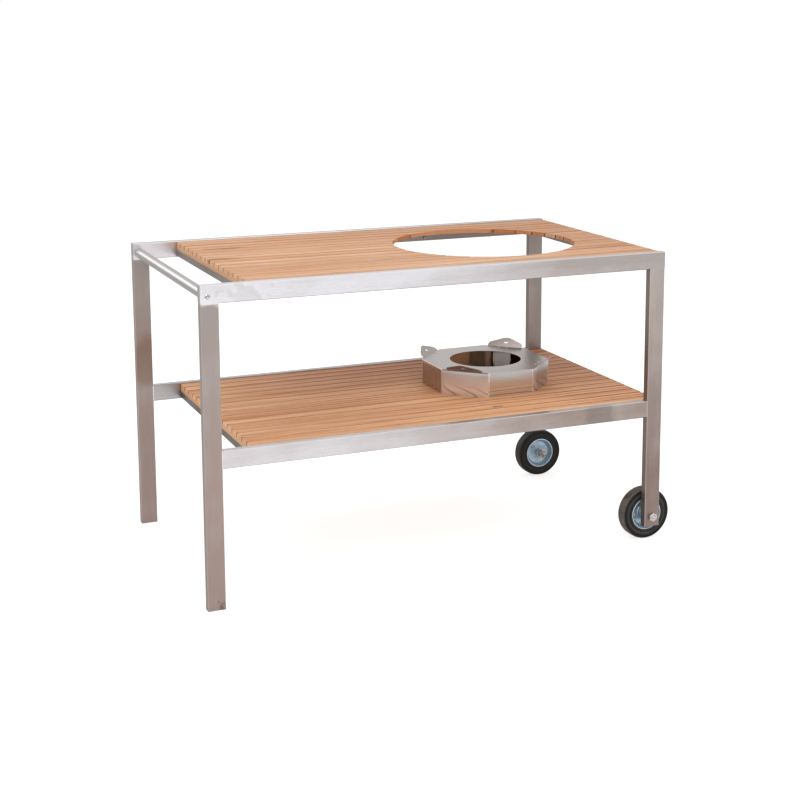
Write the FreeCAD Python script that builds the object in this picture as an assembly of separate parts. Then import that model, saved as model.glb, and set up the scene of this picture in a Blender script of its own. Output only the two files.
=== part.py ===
import FreeCAD, Part
import math
import os

# Kamado grill table: a welded frame of rectangular steel tube, a slatted wooden top with a
# round cut-out, a slatted shelf, a folded steel stand on the shelf, a handle bar at one end
# and two wheels at the other. All sizes are millimetres.
# The origin is on the floor under the middle of the whole outline, wheels and bolts included.
# +X points from the handle end to the wheel end, +Y from the front to the rear, +Z up.

# Welded frame
table_length = 1420.0       # over the frame, handle end to wheel end
table_depth = 820.0         # over the frame, front to rear
table_height = 900.0        # floor to the top of the upper rails
tube_face = 50.0            # broad side of the frame tube
tube_edge = 25.0            # narrow side of the frame tube
tube_wall = 1.5
tube_corner = 1.5           # flat that breaks the frame tube's outside corners
end_plate = 2.0             # plates welded into the open tube ends and ground flush
shelf_rail_height = 446.0   # floor to the top of the shelf rails
wheel_leg_lift = 50.0       # the wheel-end legs stop this far above the floor

# Cross tubes that carry the panels
cross_face = 50.0
cross_edge = 20.0
cross_wall = 1.5

# Slatted panels
handle_gap = 138.0          # open length between the handle end and both panels
slat_width = 43.0
slat_gap = 5.3              # open joint between slats, which are then spaced evenly
slat_thickness = 12.0
slat_chamfer = 1.2          # on the two long upper edges
panel_drop = 3.0            # the slats lie this far below the top of their rails
panel_side_gap = 1.0        # between the outer slats and the rails
batten_width = 50.0
batten_thickness = 12.0

# Round cut-out for the grill
cutout_radius = 283.0
cutout_from_wheel_end = 407.0
cutout_margin = 10.0        # from the cut-out's edge to the cross tube beside it

# Handle bar
handle_radius = 15.0
handle_wall = 1.5
handle_from_end = 20.0      # frame end to the bar's axis
handle_below_top = 30.0     # rail top to the bar's axis
plug_length = 20.0          # threaded plug welded into each end of the bar
handle_screw_radius = 4.0
screw_clearance = 0.25      # between the screw and its holes in the rail
handle_screw_reach = 15.0   # thread length inside the plug
screw_head_radius = 7.5
screw_head_height = 4.0
socket_width = 5.0          # across the flats of the hexagon socket
socket_depth = 2.5

# Wheels
wheel_radius = 80.0
tyre_width = 40.0
rim_radius = 49.5
dish_radius = 38.7          # flat middle of the pressed rim
disc_thickness = 2.0        # sheet of each of the rim's two halves
hub_radius = 13.5
hub_side = 6.5              # the hub stands this far proud of the tyre on each side
hub_end_play = 0.5          # at each end of the hub
running_clearance = 0.05    # between the hub and its sleeve
sleeve_radius = 10.0
sleeve_clearance = 0.15     # between the sleeve and the bolt
bolt_radius = 8.0
bolt_length = 100.0         # under the head
bolt_head_width = 24.0      # across the flats
bolt_head_height = 10.0
bolt_clearance = 0.25       # between the bolt and the holes in the leg and the washer
washer_radius = 15.0
washer_thickness = 3.0
nut_height = 13.0
thread_clearance = 0.05     # plain surfaces stand in for the threads
axle_height = 80.0          # floor to the wheel's axis

# Loose stand for the grill
stand_width = 370.0         # across the flats of the regular octagon
stand_height = 78.0
stand_sheet = 2.0
stand_hole_radius = 112.5
stand_offset_x = 15.0       # from the cut-out's axis
stand_offset_y = 13.0
stand_flange = 26.0         # inner flange of the corner panels
tab_half_width = 58.0
tab_shoulder = 17.0
tab_reach = 44.0
tab_round = 9.0
tab_angle = 36.0            # degrees above the plate
tab_slot_length = 14.0
tab_slot_width = 7.0
tab_slot_reach = 20.0       # fold line to the slot's middle

# Places that follow from the sizes above
overhang = wheel_radius - tube_face / 2
left_end = -(table_length + overhang) / 2
right_end = left_end + table_length
front_face = -table_depth / 2
rear_face = table_depth / 2
inner_front = front_face + tube_edge
inner_rear = rear_face - tube_edge
inner_depth = inner_rear - inner_front
panel_left = left_end + handle_gap
cutout_x = right_end - cutout_from_wheel_end
panel_depth = inner_depth - 2 * panel_side_gap
slat_count = round((panel_depth + slat_gap) / (slat_width + slat_gap))
slat_pitch = (panel_depth - slat_width) / (slat_count - 1)
axle_x = right_end - tube_face / 2
hub_length = tyre_width + 2 * hub_side
sleeve_length = hub_length + 2 * hub_end_play
octagon_half = math.tan(math.radians(22.5))

X = FreeCAD.Vector(1, 0, 0)
Y = FreeCAD.Vector(0, 1, 0)
Z = FreeCAD.Vector(0, 0, 1)
ORIGIN = FreeCAD.Vector(0, 0, 0)
ALONG_X = FreeCAD.Rotation(FreeCAD.Vector(1, 1, 1), 120)
ALONG_Y = FreeCAD.Rotation(X, -90)
UPRIGHT = FreeCAD.Rotation(Z, 90)


def vec(x, y, z):
    return FreeCAD.Vector(x, y, z)


def save(node, *solids):
    """Write one named sub-part, made of one or more separate solids."""
    shape = solids[0] if len(solids) == 1 else Part.makeCompound(list(solids))
    shape.exportStep("parts/" + node + ".step")


def box(x, y, z, length, depth, height):
    """A block from its lowest corner."""
    return Part.makeBox(length, depth, height, vec(x, y, z))


def rod(radius, start, direction, length):
    return Part.makeCylinder(radius, length, start, direction)


def ring(radius, bore, start, direction, length):
    return rod(radius, start, direction, length).cut(rod(bore, start, direction, length))


def polygon_face(points):
    return Part.Face(Part.makePolygon(points + [points[0]]))


def rectangle(width, height, corner=0.0):
    """Points of a rectangle in the XY plane, centred on the origin, with its corners cut back by corner."""
    x = width / 2
    y = height / 2
    if corner == 0:
        return [vec(x, y, 0), vec(-x, y, 0), vec(-x, -y, 0), vec(x, -y, 0)]
    return [vec(x, y - corner, 0), vec(x - corner, y, 0), vec(corner - x, y, 0), vec(-x, y - corner, 0),
            vec(-x, corner - y, 0), vec(corner - x, -y, 0), vec(x - corner, -y, 0), vec(x, corner - y, 0)]


def tube(start, turn, length, width, height, wall, corner=0.0):
    """A rectangular tube whose section is centred on start and which runs along local Z after the turn."""
    outside = polygon_face(rectangle(width, height, corner))
    bore = polygon_face(rectangle(width - 2 * wall, height - 2 * wall))
    body = outside.cut(bore).extrude(vec(0, 0, length))
    body.Placement = FreeCAD.Placement(start, turn)
    return body


def end_block(start, turn):
    """A plate that fills the end of a frame tube, from start along local Z after the turn."""
    plate = polygon_face(rectangle(tube_edge - 2 * tube_wall, tube_face - 2 * tube_wall))
    plate = plate.extrude(vec(0, 0, end_plate))
    plate.Placement = FreeCAD.Placement(start, turn)
    return plate


def hexagon(width, height, centre, direction):
    """A hexagonal prism across the flats, from centre along direction."""
    radius = width / math.sqrt(3)
    points = [vec(radius * math.cos(math.radians(60 * i)), radius * math.sin(math.radians(60 * i)), 0)
              for i in range(6)]
    prism = polygon_face(points).extrude(vec(0, 0, height))
    prism.Placement = FreeCAD.Placement(centre, FreeCAD.Rotation(Z, direction))
    return prism


def spun(profile, centre, direction):
    """A profile of (radius, distance along the axis) turned about the axis."""
    face = polygon_face([vec(r, 0, a) for r, a in profile])
    body = face.revolve(ORIGIN, Z, 360)
    body.Placement = FreeCAD.Placement(centre, FreeCAD.Rotation(Z, direction))
    return body


# Frame
def rail(y, x, length, top):
    """A tube along the table, standing on its narrow side."""
    start = vec(x, y, top - tube_face / 2)
    return tube(start, ALONG_X, length, tube_edge, tube_face, tube_wall, tube_corner)


def leg(x, y, foot):
    """A leg from its foot up to the underside of the upper rail."""
    length = table_height - tube_face - foot
    return tube(vec(x, y, foot), UPRIGHT, length, tube_edge, tube_face, tube_wall, tube_corner)


def handle_seat(side):
    """Where the handle's axis meets the rail's outer face. Side is -1 at the front and 1 at the rear."""
    return vec(left_end + handle_from_end, side * table_depth / 2, table_height - handle_below_top)


def axle_seat(side):
    """Where the wheel's axis meets the leg's outer face."""
    return vec(axle_x, side * table_depth / 2, axle_height)


def build_frame():
    """Two side frames, each a long upper rail on two legs with a shelf rail between them."""
    rail_z = table_height - tube_face / 2
    rail_plates = []
    leg_plates = []
    for side, name in ((-1, "front"), (1, "rear")):
        y = side * (table_depth / 2 - tube_edge / 2)
        inward = vec(0, -side, 0)
        top_rail = rail(y, left_end, table_length, table_height)
        screw_hole = rod(handle_screw_radius + screw_clearance, handle_seat(side), inward, tube_edge)
        save(name + "_top_rail", top_rail.cut(screw_hole))
        shelf_rail_length = table_length - 2 * tube_face
        save(name + "_shelf_rail", rail(y, left_end + tube_face, shelf_rail_length, shelf_rail_height))
        save(name + "_left_leg", leg(left_end + tube_face / 2, y, 0))
        bolt_hole = rod(bolt_radius + bolt_clearance, axle_seat(side), inward, tube_edge)
        save(name + "_right_leg", leg(axle_x, y, wheel_leg_lift).cut(bolt_hole))
        rail_plates += [end_block(vec(x, y, rail_z), ALONG_X) for x in (left_end, right_end - end_plate)]
        leg_plates += [end_block(vec(left_end + tube_face / 2, y, 0), UPRIGHT),
                       end_block(vec(axle_x, y, wheel_leg_lift), UPRIGHT)]
    save("rail_end_plates", *rail_plates)
    save("leg_end_plates", *leg_plates)


# Panels
def slat_top(rail_top):
    return rail_top - panel_drop


def slat(index, rail_top):
    """One slat of a panel, counted from the front, with its long upper edges broken."""
    y = -panel_depth / 2 + index * slat_pitch
    top = slat_top(rail_top)
    low = top - slat_thickness
    section = [vec(panel_left, y, low), vec(panel_left, y + slat_width, low),
               vec(panel_left, y + slat_width, top - slat_chamfer),
               vec(panel_left, y + slat_width - slat_chamfer, top),
               vec(panel_left, y + slat_chamfer, top), vec(panel_left, y, top - slat_chamfer)]
    return polygon_face(section).extrude(vec(right_end - panel_left, 0, 0))


def batten(x, rail_top):
    """A wooden batten across the underside of the slats, over its cross tube."""
    z = slat_top(rail_top) - slat_thickness - batten_thickness
    return box(x, -panel_depth / 2, z, batten_width, panel_depth, batten_thickness)


def cross_tube(x, rail_top):
    """A flat tube between the front and the rear rail, under its batten."""
    z = slat_top(rail_top) - slat_thickness - batten_thickness - cross_edge / 2
    start = vec(x + cross_face / 2, inner_front, z)
    return tube(start, ALONG_Y, inner_depth, cross_face, cross_edge, cross_wall)


def top_supports():
    """Left ends of the cross tubes under the top, with one on each side of the cut-out."""
    beside_cutout = cutout_x - cutout_radius - cutout_margin - cross_face
    return [panel_left, (panel_left + beside_cutout) / 2, beside_cutout, right_end - cross_face]


def shelf_supports():
    """Left ends of the cross tubes under the shelf, evenly spaced."""
    step = (right_end - cross_face - panel_left) / 3
    return [panel_left + i * step for i in range(4)]


def build_panels():
    hole_start = vec(cutout_x, 0, slat_top(table_height) - 2 * slat_thickness)
    hole = rod(cutout_radius, hole_start, Z, 4 * slat_thickness)
    for index in range(slat_count):
        plank = slat(index, table_height)
        parts = plank.cut(hole).Solids if plank.common(hole).Volume > 0 else [plank]
        save("top_slat_%02d" % (index + 1), *parts)
    save("shelf_slats", *[slat(index, shelf_rail_height) for index in range(slat_count)])
    for name, rail_top, supports in (("top", table_height, top_supports()),
                                     ("shelf", shelf_rail_height, shelf_supports())):
        for number, x in enumerate(supports, 1):
            save("%s_cross_tube_%d" % (name, number), cross_tube(x, rail_top))
            save("%s_batten_%d" % (name, number), batten(x + (cross_face - batten_width) / 2, rail_top))


# Handle
def build_handle():
    """A round bar between the upper rails, held at each end by a screw in its welded-in threaded plug."""
    start = handle_seat(-1) + Y * tube_edge
    bar = rod(handle_radius, start, Y, inner_depth)
    hollow = rod(handle_radius - handle_wall, start + Y * plug_length, Y, inner_depth - 2 * plug_length)
    thread = rod(handle_screw_radius + thread_clearance, start, Y, inner_depth)
    save("handle_bar", bar.cut(hollow).cut(thread))
    screws = []
    for side in (-1, 1):
        outside = handle_seat(side)
        inward = vec(0, -side, 0)
        shank = rod(handle_screw_radius, outside, inward, tube_edge + handle_screw_reach)
        head = rod(screw_head_radius, outside, inward * -1, screw_head_height)
        socket = hexagon(socket_width, socket_depth, outside - inward * screw_head_height, inward)
        screws.append(shank.fuse(head).removeSplitter().cut(socket))
    save("handle_screws", *screws)


# Wheels
def rim_profile():
    """The pressed rim with its hub: a flat dish between two flared walls, and a tube through its middle."""
    half = tyre_width / 2
    end = half + hub_side
    bore = sleeve_radius + running_clearance
    dish = disc_thickness
    return [(bore, -end), (hub_radius, -end), (hub_radius, -dish), (dish_radius, -dish),
            (rim_radius, -half), (rim_radius, half), (dish_radius, dish), (hub_radius, dish),
            (hub_radius, end), (bore, end)]


def tyre_profile():
    half = tyre_width / 2
    return [(rim_radius, -half), (wheel_radius, -half), (wheel_radius, half), (rim_radius, half)]


def build_wheels():
    """A wheel inside each wheel-end leg, turning on a sleeve that a bolt clamps against the leg."""
    bolts = []
    sleeves = []
    washers = []
    nuts = []
    for side, name in ((-1, "front"), (1, "rear")):
        inward = vec(0, -side, 0)
        outside = axle_seat(side)
        seat = outside + inward * tube_edge
        middle = seat + inward * (sleeve_length / 2)
        save(name + "_tyre", spun(tyre_profile(), middle, inward))
        save(name + "_wheel_rim", spun(rim_profile(), middle, inward))
        washer_seat = seat + inward * sleeve_length
        nut_seat = washer_seat + inward * washer_thickness
        shank = rod(bolt_radius, outside, inward, bolt_length)
        head = hexagon(bolt_head_width, bolt_head_height, outside, inward * -1)
        bolts.append(shank.fuse(head).removeSplitter())
        sleeves.append(ring(sleeve_radius, bolt_radius + sleeve_clearance, seat, inward, sleeve_length))
        washer_bore = bolt_radius + bolt_clearance
        washers.append(ring(washer_radius, washer_bore, washer_seat, inward, washer_thickness))
        nut = hexagon(bolt_head_width, nut_height, nut_seat, inward)
        nuts.append(nut.cut(rod(bolt_radius + thread_clearance, nut_seat, inward, nut_height)))
    save("axle_bolts", *bolts)
    save("axle_sleeves", *sleeves)
    save("axle_washers", *washers)
    save("axle_nuts", *nuts)


# Stand
def octagon(width):
    """Corners of a regular octagon across the flats, centred on the origin, from the right side on."""
    radius = width / 2 / math.cos(math.radians(22.5))
    return [(radius * math.cos(math.radians(45 * i - 22.5)), radius * math.sin(math.radians(45 * i - 22.5)))
            for i in range(8)]


def stand_side(index, height):
    """One upright side of the stand, mitred to its neighbours, from the shelf up."""
    outer = octagon(stand_width)
    inner = octagon(stand_width - 2 * stand_sheet)
    after = (index + 1) % 8
    points = [vec(*outer[index], 0), vec(*outer[after], 0), vec(*inner[after], 0), vec(*inner[index], 0)]
    return polygon_face(points).extrude(vec(0, 0, height))


def corner_panel(index):
    """A slanting side of the stand with an inner flange under the top plate."""
    height = stand_height - stand_sheet
    reach = stand_width / 2 - stand_sheet
    half = reach * octagon_half - stand_flange * octagon_half
    flange = box(reach - stand_flange, -half, height - stand_sheet, stand_flange, 2 * half, stand_sheet)
    flange.rotate(ORIGIN, Z, 45 * index)
    return stand_side(index, height).fuse(flange).removeSplitter()


def tab(index):
    """A tab of the top plate, folded up along a slanting side, with rounded corners and a slot."""
    outline = [vec(0, -tab_half_width, 0), vec(tab_shoulder, -tab_half_width, 0), vec(tab_reach, 0, 0),
               vec(tab_shoulder, tab_half_width, 0), vec(0, tab_half_width, 0)]
    sheet = polygon_face(outline).extrude(vec(0, 0, -stand_sheet))
    corners = [edge for edge in sheet.Edges if abs(edge.tangentAt(edge.FirstParameter).z) > 0.99
               and edge.CenterOfMass.x > tab_shoulder / 2]
    sheet = sheet.makeFillet(tab_round, corners)
    slot_low = tab_slot_reach - tab_slot_width / 2
    slot = box(slot_low, -tab_slot_length / 2, -stand_sheet, tab_slot_width, tab_slot_length, stand_sheet)
    sheet = sheet.cut(slot)
    sheet.rotate(ORIGIN, Y, -tab_angle)
    setback = stand_sheet * math.sin(math.radians(tab_angle))
    sheet.translate(vec(stand_width / 2 - setback, 0, stand_height))
    sheet.rotate(ORIGIN, Z, 45 * index)
    return sheet


def build_stand():
    """The loose stand: a plate with four folded sides and four tabs, over four corner panels."""
    place = vec(cutout_x + stand_offset_x, stand_offset_y, slat_top(shelf_rail_height))
    plate = polygon_face([vec(x, y, stand_height - stand_sheet) for x, y in octagon(stand_width)])
    plate = plate.extrude(vec(0, 0, stand_sheet))
    plate = plate.fuse([stand_side(index, stand_height) for index in (0, 2, 4, 6)])
    plate = plate.fuse([tab(index) for index in (1, 3, 5, 7)])
    plate = plate.cut(rod(stand_hole_radius, ORIGIN, Z, 2 * stand_height)).removeSplitter()
    plate.translate(place)
    panels = [corner_panel(index) for index in (1, 3, 5, 7)]
    for panel in panels:
        panel.translate(place)
    save("stand_plate", plate)
    save("stand_corner_panels", *panels)


os.makedirs("parts", exist_ok=True)
build_frame()
build_panels()
build_handle()
build_wheels()
build_stand()
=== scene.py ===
import math

import bmesh
import bpy
from mathutils import Matrix, Vector


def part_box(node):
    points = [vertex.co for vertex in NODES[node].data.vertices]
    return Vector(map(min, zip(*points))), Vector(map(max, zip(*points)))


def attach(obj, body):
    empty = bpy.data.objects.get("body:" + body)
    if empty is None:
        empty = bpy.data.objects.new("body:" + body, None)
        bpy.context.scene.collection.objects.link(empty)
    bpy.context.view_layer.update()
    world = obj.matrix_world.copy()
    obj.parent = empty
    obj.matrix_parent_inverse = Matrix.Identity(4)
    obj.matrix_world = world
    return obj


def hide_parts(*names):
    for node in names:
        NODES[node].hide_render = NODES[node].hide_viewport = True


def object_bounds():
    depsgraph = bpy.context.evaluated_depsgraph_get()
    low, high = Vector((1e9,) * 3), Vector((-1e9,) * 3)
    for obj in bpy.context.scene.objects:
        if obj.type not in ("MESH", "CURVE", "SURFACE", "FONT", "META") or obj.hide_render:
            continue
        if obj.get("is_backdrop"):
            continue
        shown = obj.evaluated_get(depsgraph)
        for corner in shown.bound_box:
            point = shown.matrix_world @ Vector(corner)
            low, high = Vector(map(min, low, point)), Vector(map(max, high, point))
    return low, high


# The looks of a kamado grill table, in metres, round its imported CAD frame.
# The front faces -Y, the handle end -X and the wheel end +X. The floor is at z = 0.
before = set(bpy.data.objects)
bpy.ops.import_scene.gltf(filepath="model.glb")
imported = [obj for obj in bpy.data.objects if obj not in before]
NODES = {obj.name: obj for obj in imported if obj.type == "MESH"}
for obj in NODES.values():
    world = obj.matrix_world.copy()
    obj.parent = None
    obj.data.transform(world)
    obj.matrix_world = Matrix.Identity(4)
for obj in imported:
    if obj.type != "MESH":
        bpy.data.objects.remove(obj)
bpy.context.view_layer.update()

MM = 0.001
X = Vector((1, 0, 0))
Y = Vector((0, 1, 0))
Z = Vector((0, 0, 1))

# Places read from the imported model
rail_low, rail_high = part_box("front_top_rail")
left_leg_low, left_leg_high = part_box("front_left_leg")
right_leg_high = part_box("front_right_leg")[1]
shelf_low, shelf_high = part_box("shelf_slats")
top_low, top_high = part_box("top_slat_01")
stand_low, stand_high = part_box("stand_corner_panels")
plate_low, plate_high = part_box("stand_plate")
screw_low, screw_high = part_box("handle_screws")
nut_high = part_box("axle_nuts")[1]
washer_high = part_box("axle_washers")[1]
tyre_low, tyre_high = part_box("front_tyre")
rim_low, rim_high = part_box("front_wheel_rim")
slat_width = top_high.y - top_low.y
slat_pitch = (shelf_high.y - shelf_low.y - slat_width) / 15
slat_gap = slat_pitch - slat_width
panel_front = shelf_low.y
panel_end = shelf_low.x
front = rail_low.y
outer_face = -rail_low.y
inner_face = -rail_high.y
axle_x = (tyre_low.x + tyre_high.x) / 2
axle_z = (tyre_low.z + tyre_high.z) / 2
cut_out_x = right_leg_high.x - 0.407
cut_out_radius = 0.283
stand_half = 185.0 * MM
side_half = stand_half * math.tan(math.pi / 8)
stand_mid = (stand_low + stand_high) / 2
tab_foot = plate_low.z + 0.003


def tone(red, green, blue):
    """A colour as a screen shows it, 0 to 255, made linear."""
    def linear(value):
        value /= 255
        return value / 12.92 if value <= 0.04045 else ((value + 0.055) / 1.055) ** 2.4
    return (linear(red), linear(green), linear(blue), 1.0)


# Materials
class Finish:
    """A node material, with short calls that add its nodes."""

    def __init__(self, name, **surface):
        self.material = bpy.data.materials.new(name)
        self.material.use_nodes = True
        self.tree = self.material.node_tree
        self.surface = self.tree.nodes["Principled BSDF"]
        for socket, value in surface.items():
            self.surface.inputs[socket.replace("_", " ")].default_value = value
        self.place = self.add("TexCoord").outputs["Object"]
        parts = self.add("SeparateXYZ", self.place).outputs
        self.x, self.y, self.z = parts[0], parts[1], parts[2]

    def put(self, socket, value):
        if isinstance(value, bpy.types.NodeSocket):
            self.tree.links.new(value, socket)
        else:
            socket.default_value = value

    def add(self, kind, *inputs, **settings):
        node = self.tree.nodes.new("ShaderNode" + kind)
        for key, value in settings.items():
            setattr(node, key, value)
        for socket, value in zip(node.inputs, inputs):
            self.put(socket, value)
        return node

    def math(self, operation, a, b=0.0, c=0.0):
        return self.add("Math", a, b, c, operation=operation).outputs[0]

    def scaled(self, x, y, z, shift=None):
        """The place with each direction scaled, and moved by a vector."""
        place = self.add("VectorMath", self.place, (x, y, z), operation="MULTIPLY").outputs[0]
        return place if shift is None else self.add("VectorMath", place, shift).outputs[0]

    def noise(self, place, scale=1.0, detail=3.0, rough=0.5):
        node = self.add("TexNoise")
        self.put(node.inputs["Vector"], place)
        self.put(node.inputs["Scale"], scale)
        self.put(node.inputs["Detail"], detail)
        self.put(node.inputs["Roughness"], rough)
        return node.outputs["Fac"]

    def span(self, value, low, high, to_low=0.0, to_high=1.0, smooth=False):
        kind = "SMOOTHSTEP" if smooth else "LINEAR"
        return self.add("MapRange", value, low, high, to_low, to_high,
                        interpolation_type=kind).outputs[0]

    def mix(self, share, a, b):
        node = self.add("Mix", data_type="RGBA")
        self.put(node.inputs[0], share)
        self.put(node.inputs[6], a)
        self.put(node.inputs[7], b)
        return node.outputs[2]

    def near(self, x, y, z, reach_x, reach_y, reach_z, ragged=0.6, grain=60.0):
        """1 at a place, falling to 0 at its ragged reach."""
        scale = (1 / reach_x, 1 / reach_y, 1 / reach_z)
        away = self.add("VectorMath", self.place, (x, y, z), operation="SUBTRACT").outputs[0]
        away = self.add("VectorMath", away, scale, operation="MULTIPLY").outputs[0]
        far = self.add("VectorMath", away, operation="LENGTH").outputs["Value"]
        torn = self.span(self.noise(self.place, grain, 3), 0.3, 0.7, -ragged, ragged)
        far = self.math("ADD", far, torn)
        return self.span(far, 0.5, 1.0, 1.0, 0.0, smooth=True)

    def finish(self, colour, rough=None, height=None, strength=0.1, depth=0.0005):
        self.put(self.surface.inputs["Base Color"], colour)
        if rough is not None:
            self.put(self.surface.inputs["Roughness"], rough)
        if height is not None:
            bump = self.add("Bump")
            self.put(bump.inputs["Strength"], strength)
            self.put(bump.inputs["Distance"], depth)
            self.put(bump.inputs["Height"], height)
            self.put(self.surface.inputs["Normal"], bump.outputs["Normal"])
        return self.material


def distance(finish, a, b):
    """The length of the vector (a, b)."""
    squares = finish.math("ADD", finish.math("MULTIPLY", a, a), finish.math("MULTIPLY", b, b))
    return finish.math("SQRT", squares)


def brushed(name, along, plain, pale, rough=(0.26, 0.40), painted_sheen=None, grain=0.10, side_shade=None,
            ground=False, inner_shade=None, inside_top=0.0, low=None, low_from=(0.25, 0.75), rear=0.0,
            top_shade=0.0, top_shade_rear=0.0, painted_edge_light=0.0, sharp_below=None, bump=0.06, marks=(),
            metallic=1.0):
    """Stainless steel brushed along one axis, its colour between plain and pale.

    painted_sheen: the x where its painted highlight makes it pale and the x where it is plain
    side_shade: the colour of sides that face the handle end, painted shade
    ground: a paler band at the top of a leg where it is ground, its sheen a painted highlight,
    strongest at the front
    inner_shade, inside_top: the colour of inner faces beside a panel, painted shade, and the height
    they end at
    low, low_from: the colour of the lower part, a painted change of shade, and the heights of the
    change
    rear: how much darker it is at the table's rear, as painted shade
    top_shade, top_shade_rear: how dark its upper faces are painted, at the middle and at the rear,
    as painted shade
    painted_edge_light: how bright its upper edges are, a painted highlight; its lower edges get
    painted shade
    sharp_below: the height under which it mirrors sharply
    marks: (place, reach, colour, weight) of each mark, its reach as near() takes it
    """
    finish = Finish(name, Metallic=metallic)
    fine = [700.0, 700.0, 700.0]
    broad = [26.0, 26.0, 26.0]
    fine[along] = 9.0
    broad[along] = 2.2
    streak = finish.noise(finish.scaled(*fine), 1.0, 4.0, 0.6)
    band = finish.noise(finish.scaled(*broad), 1.0, 3.0, 0.55)
    smear = finish.noise(finish.place, 7.0, 3.0, 0.5)
    share = finish.span(band, 0.3, 0.7, -0.10, 0.16)
    # Painted highlight: paler towards one end along x
    if painted_sheen:
        share = finish.math("ADD", share,
                            finish.span(finish.x, painted_sheen[0], painted_sheen[1], 0.95, 0.0, smooth=True))
    share = finish.math("ADD", share, finish.span(smear, 0.35, 0.65, -0.10, 0.10))
    # Painted highlight on the ground top of a leg, strongest at the front
    if ground:
        wave = finish.span(finish.noise(finish.place, 55.0, 1.0), 0.3, 0.7, -0.004, 0.004)
        edge = finish.span(finish.math("ADD", finish.z, wave),
                           left_leg_high.z - 0.010, left_leg_high.z - 0.002)
        edge = finish.math("MULTIPLY", edge, finish.span(finish.y, -0.2, 0.2, 1.0, 0.15))
        share = finish.math("ADD", share, edge)
    # Painted shade that changes with height
    if low:
        reach = (low_from[1] - low_from[0]) / 5
        height = finish.math("ADD", finish.z, finish.span(smear, 0.3, 0.7, -reach, reach))
        plain = finish.mix(finish.span(height, *low_from), low, plain)
    colour = finish.mix(finish.add("Clamp", share).outputs[0], plain, pale)
    colour = finish.mix(finish.span(streak, 0.35, 0.65, 0.0, grain), colour, tone(96, 84, 78))
    facing = finish.add("SeparateXYZ", finish.add("NewGeometry").outputs["Normal"]).outputs
    # Painted shade: darker towards the table's rear, except on upper faces
    if rear:
        shaded = finish.math("MULTIPLY", finish.span(finish.y, -0.1, 0.3, 0.0, rear),
                             finish.span(facing[2], 0.9, 0.4))
        colour = finish.mix(shaded, colour, tone(90, 76, 70))
    # Painted highlight along upper edges and painted shade along lower edges
    if painted_edge_light:
        size = [finish.math("ABSOLUTE", part) for part in facing]
        size = finish.math("MAXIMUM", finish.math("MAXIMUM", size[0], size[1]), size[2])
        edge = finish.span(size, 0.90, 0.78)
        upper = finish.math("MULTIPLY", edge, finish.span(facing[2], -0.4, -0.1, 0.0, painted_edge_light))
        under = finish.math("MULTIPLY", edge, finish.span(facing[2], -0.4, -0.6, 0.0, 0.55))
        colour = finish.mix(upper, colour, tone(250, 246, 244))
        colour = finish.mix(under, colour, tone(92, 82, 78))
    # Painted shade on upper faces, darker at the rear
    if top_shade:
        upward = finish.math("MULTIPLY", finish.span(facing[2], 0.6, 0.9),
                             finish.span(finish.y, 0.2, 0.35, top_shade, top_shade_rear))
        colour = finish.mix(upward, colour, tone(110, 104, 104))
    # Painted shade on the sides that face the handle end, stronger towards the wheel end
    if side_shade:
        side = finish.span(facing[0], -0.6, -0.9)
        side = finish.math("MULTIPLY", side, finish.span(finish.x, -0.7, 0.6, 0.72, 0.92))
        colour = finish.mix(side, colour, side_shade)
    # Painted shade on the inner faces beside a panel, below its top
    if inner_shade:
        depth = finish.span(finish.math("ABSOLUTE", finish.y),
                            inner_face + 0.0006, inner_face + 0.0002)
        depth = finish.math("MULTIPLY", depth,
                            finish.span(finish.z, inside_top, inside_top - 0.001))
        beside = finish.math("MULTIPLY", depth,
                             finish.span(finish.x, panel_end - 0.012, panel_end + 0.006))
        colour = finish.mix(finish.math("MULTIPLY", beside, 0.9), colour, inner_shade)
    for place, reach, shade, weight in marks:
        patch = finish.near(*place, *reach)
        colour = finish.mix(finish.math("MULTIPLY", patch, weight), colour, shade)
    roughness = finish.span(finish.math("ADD", streak, band), 0.7, 1.3, *rough)
    if sharp_below:
        blur = finish.span(finish.z, sharp_below - 0.012, sharp_below + 0.016, 0.3, 1.0)
        if side_shade:
            blur = finish.math("MAXIMUM", blur, finish.math("MULTIPLY", side, 1.7))
        roughness = finish.math("MULTIPLY", roughness, blur)
    return finish.finish(colour, roughness, streak, bump, 0.0004)


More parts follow.
